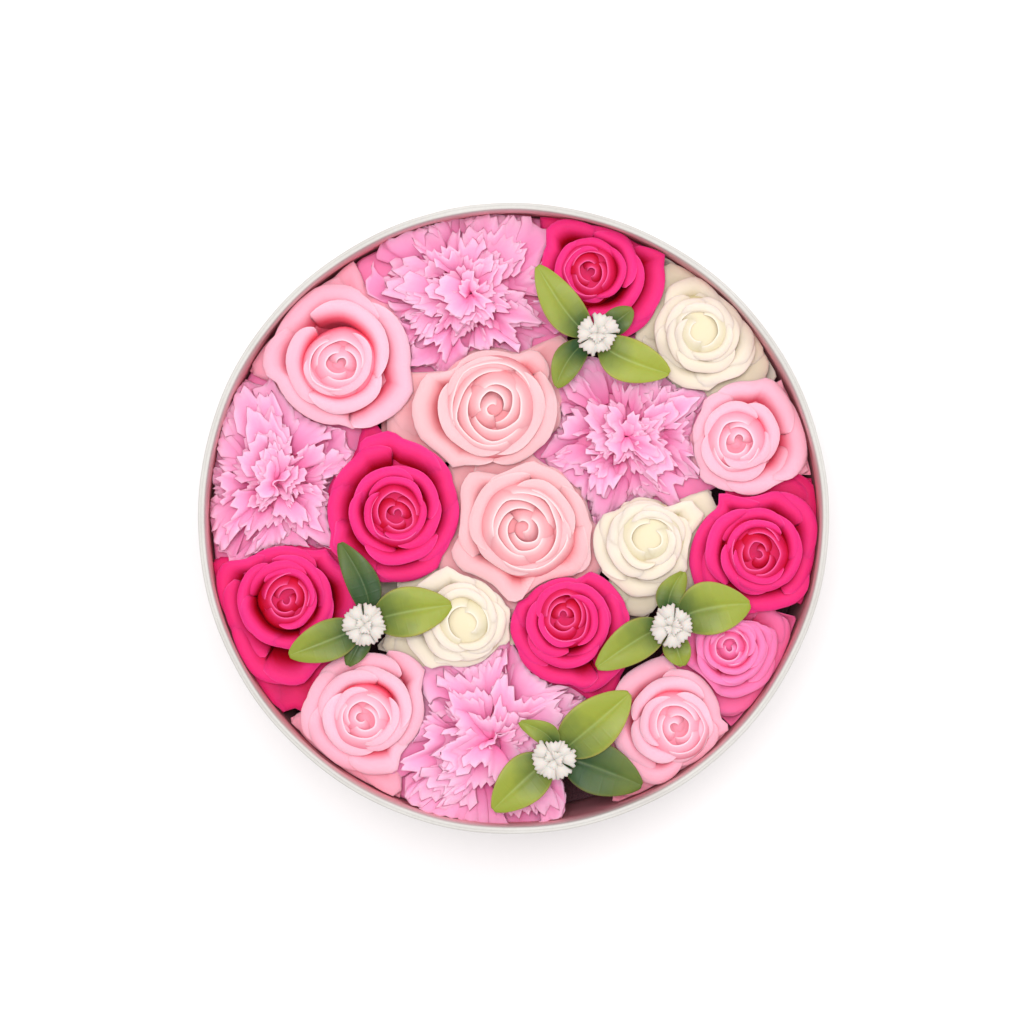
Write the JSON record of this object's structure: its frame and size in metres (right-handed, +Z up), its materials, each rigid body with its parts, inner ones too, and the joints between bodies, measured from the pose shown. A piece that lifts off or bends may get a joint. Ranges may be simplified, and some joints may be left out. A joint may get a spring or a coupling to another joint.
{
  "type": "flower hat box",
  "caption": "Round open card box filled with soap roses, carnations and leafy sprigs that stand in a foam disc, with crowns level with the rim.",
  "frame": {"origin": "centre of the box's underside, on the surface it stands on", "axes": "+Z up along the box's axis; +Y towards the top of the picture, which looks straight down, and +X to its right"},
  "size_m": [0.24, 0.24, 0.1061],
  "materials": {
    "card": "matt off-white paper over card, slightly rough",
    "foam": "dull fine-celled foam",
    "light_petal": "cool light pink soap petals, satin matt, coral in the depths",
    "peach_petal": "pale peach pink soap petals, satin matt",
    "rosy_petal": "mid pink soap petals, satin matt",
    "hot_petal": "hot magenta pink soap petals, satin matt, crimson in the depths",
    "ivory_petal": "creamy white soap petals, satin matt, pale green towards the eye",
    "frill_petal": "pink soap petals with toothed paler edges, satin matt",
    "calyx": "moulded dark green plastic",
    "leaf": "thin moulded leaf, dark green to yellow-green, satin",
    "floret": "chalky white, matt"
  },
  "bodies": {
    "root": {"box_wall": "card", "box_base": "card", "foam_disc": "foam", "rose_light_1": "light_petal", "rose_light_1_calyx": "calyx", "rose_light_2": "light_petal", "rose_light_2_calyx": "calyx", "rose_light_3": "light_petal", "rose_light_3_calyx": "calyx", "rose_light_4": "light_petal", "rose_light_4_calyx": "calyx", "rose_peach_1": "peach_petal", "rose_peach_1_calyx": "calyx", "rose_peach_2": "peach_petal", "rose_peach_2_calyx": "calyx", "rose_hot_1": "hot_petal", "rose_hot_1_calyx": "calyx", "rose_hot_2": "hot_petal", "rose_hot_2_calyx": "calyx", "rose_hot_3": "hot_petal", "rose_hot_3_calyx": "calyx", "rose_hot_4": "hot_petal", "rose_hot_4_calyx": "calyx", "rose_hot_5": "hot_petal", "rose_hot_5_calyx": "calyx", "rose_rosy_1": "rosy_petal", "rose_rosy_1_calyx": "calyx", "rose_ivory_1": "ivory_petal", "rose_ivory_1_calyx": "calyx", "rose_ivory_2": "ivory_petal", "rose_ivory_2_calyx": "calyx", "rose_ivory_3": "ivory_petal", "rose_ivory_3_calyx": "calyx", "carnation_1": "frill_petal", "carnation_1_calyx": "calyx", "carnation_2": "frill_petal", "carnation_2_calyx": "calyx", "carnation_3": "frill_petal", "carnation_3_calyx": "calyx", "carnation_4": "frill_petal", "carnation_4_calyx": "calyx", "sprig_1_leaves": "leaf", "sprig_1_florets": "floret", "sprig_2_leaves": "leaf", "sprig_2_florets": "floret", "sprig_3_leaves": "leaf", "sprig_3_florets": "floret", "sprig_4_leaves": "leaf", "sprig_4_florets": "floret"}
  },
  "joints": []
}
